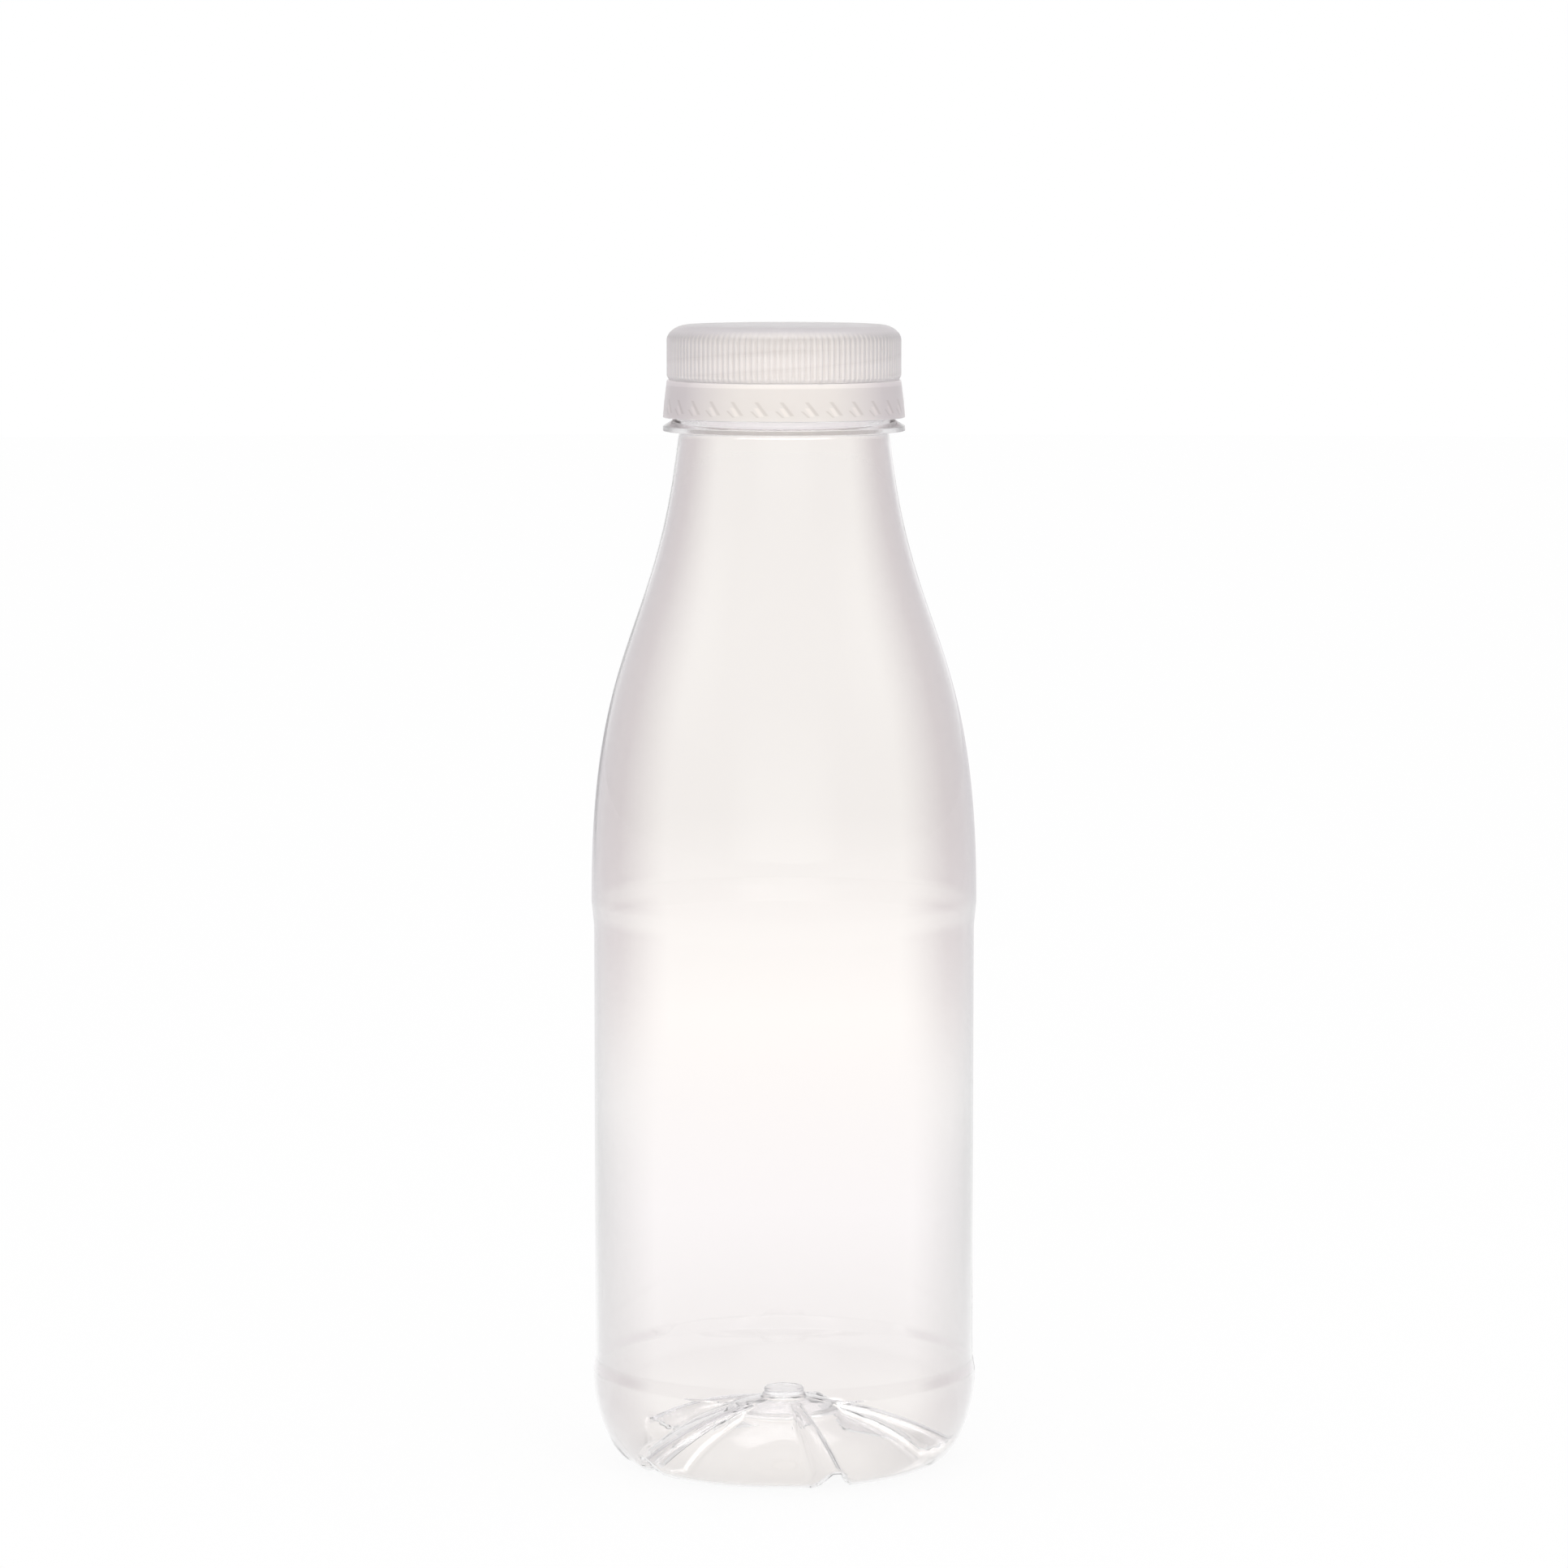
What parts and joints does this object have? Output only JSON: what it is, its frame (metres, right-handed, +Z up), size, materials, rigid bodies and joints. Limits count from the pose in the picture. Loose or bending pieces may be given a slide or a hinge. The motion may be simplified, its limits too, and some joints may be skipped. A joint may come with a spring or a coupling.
{
  "type": "plastic milk bottle",
  "caption": "Clear plastic milk bottle, empty and closed: ribbed base, straight label panel, long smooth shoulder, wide neck with a support ring, ribbed screw cap over a tamper band.",
  "frame": {"origin": "on the standing plane, under the middle of the bottle", "axes": "+Z up along the bottle's axis to the cap, -Y towards the front, +X to the viewer's right"},
  "size_m": [0.0687, 0.0686, 0.2035],
  "materials": {
    "clear_plastic": "clear, colourless, smooth and glossy",
    "cap_plastic": "uncoloured, translucent milky white, satin",
    "band_plastic": "uncoloured, translucent milky white, satin, thinner than the cap"
  },
  "bodies": {
    "root": {"bottle": "clear_plastic", "cap": "cap_plastic", "tamper_band": "band_plastic"}
  },
  "joints": []
}
